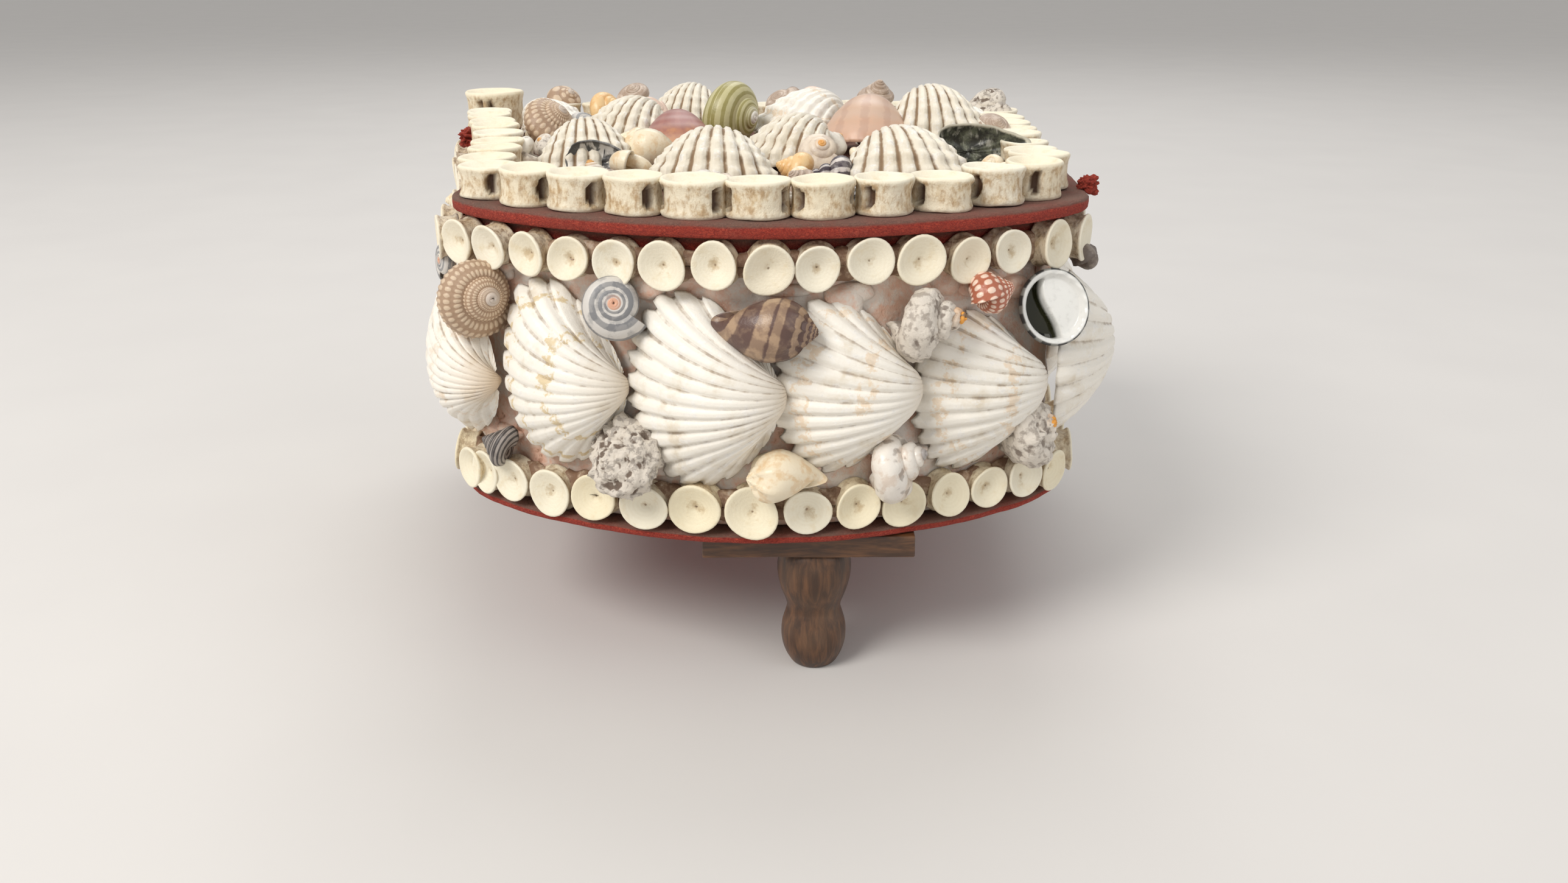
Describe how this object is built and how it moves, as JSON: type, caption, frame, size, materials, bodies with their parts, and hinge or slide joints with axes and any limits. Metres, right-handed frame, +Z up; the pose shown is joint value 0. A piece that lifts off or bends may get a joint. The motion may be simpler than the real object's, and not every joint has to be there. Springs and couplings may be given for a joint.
{
  "type": "shell box",
  "caption": "Keepsake box with a lift-off lid on turned feet, its wall and lid covered with sea shells and rows of fish vertebrae.",
  "frame": {"origin": "middle of the bounding box at the underside of the feet", "axes": "+Z up, the rounded tail of the plan faces -Y and the wide straight back faces +Y"},
  "size_m": [0.1734, 0.1754, 0.1192],
  "materials": {
    "plaster_coat": "peach-pink plaster with glossy brown glue stains, matt",
    "felt": "brick-red felt, fuzzy and dusty on top",
    "wood": "dark walnut-brown turned wood, worn satin",
    "bone": "cream fish bone with brown stains, matt to satin",
    "cockle_shell": "white to cream shell with brown dirt between the ribs, matt",
    "snail_shell": "grey, tan and cream snail shell, satin",
    "dark_shell": "grey-black to dark green shell, satin",
    "pink_shell": "mauve, peach and pink-brown shell, satin",
    "olive_shell": "olive-yellow striped shell, satin"
  },
  "bodies": {
    "root": {"box_body": "plaster_coat", "felt_rim": "felt", "base_board": "felt", "lid_board": "felt", "foot_plate_front": "wood", "foot_front": "wood", "foot_plate_back_left": "wood", "foot_back_left": "wood", "foot_plate_back_right": "wood", "foot_back_right": "wood", "upper_vertebra_row": "bone", "lower_vertebra_row": "bone", "lid_vertebra_row": "bone", "lid_corner_vertebra": "bone", "wall_cockle_01": "cockle_shell", "wall_cockle_02": "cockle_shell", "wall_cockle_03": "cockle_shell", "wall_cockle_04": "cockle_shell", "wall_cockle_05": "cockle_shell", "wall_cockle_06": "cockle_shell", "wall_cockle_07": "cockle_shell", "wall_cockle_08": "cockle_shell", "wall_cockle_09": "cockle_shell", "wall_cockle_10": "cockle_shell", "wall_cockle_11": "cockle_shell", "wall_cockle_12": "cockle_shell", "wall_cockle_13": "cockle_shell", "wall_cockle_14": "cockle_shell", "wall_cockle_15": "cockle_shell", "wall_cockle_16": "cockle_shell", "wall_cockle_17": "cockle_shell", "wall_cockle_18": "cockle_shell", "wall_cockle_19": "cockle_shell", "upper_beaded_top_shell": "snail_shell", "upper_moon_snail": "snail_shell", "upper_banded_whelk": "snail_shell", "upper_orange_turban": "snail_shell", "upper_small_beaded_shell": "pink_shell", "upper_nerite": "cockle_shell", "upper_dark_snail": "dark_shell", "lower_ribbed_snail": "dark_shell", "lower_pitted_turban": "snail_shell", "lower_cream_conch": "cockle_shell", "lower_white_turban": "cockle_shell", "lower_knobbly_turban": "snail_shell", "lid_cockle_front_left": "cockle_shell", "lid_cockle_front_right": "cockle_shell", "lid_cockle_centre": "cockle_shell", "lid_cockle_back": "cockle_shell", "lid_cockle_left": "cockle_shell", "lid_cockle_right": "cockle_shell", "lid_mauve_dome": "pink_shell", "lid_peach_dome": "pink_shell", "lid_mussel_bowl": "dark_shell", "lid_olive_top_shell": "olive_shell", "lid_beaded_snail": "snail_shell"}
  },
  "joints": []
}
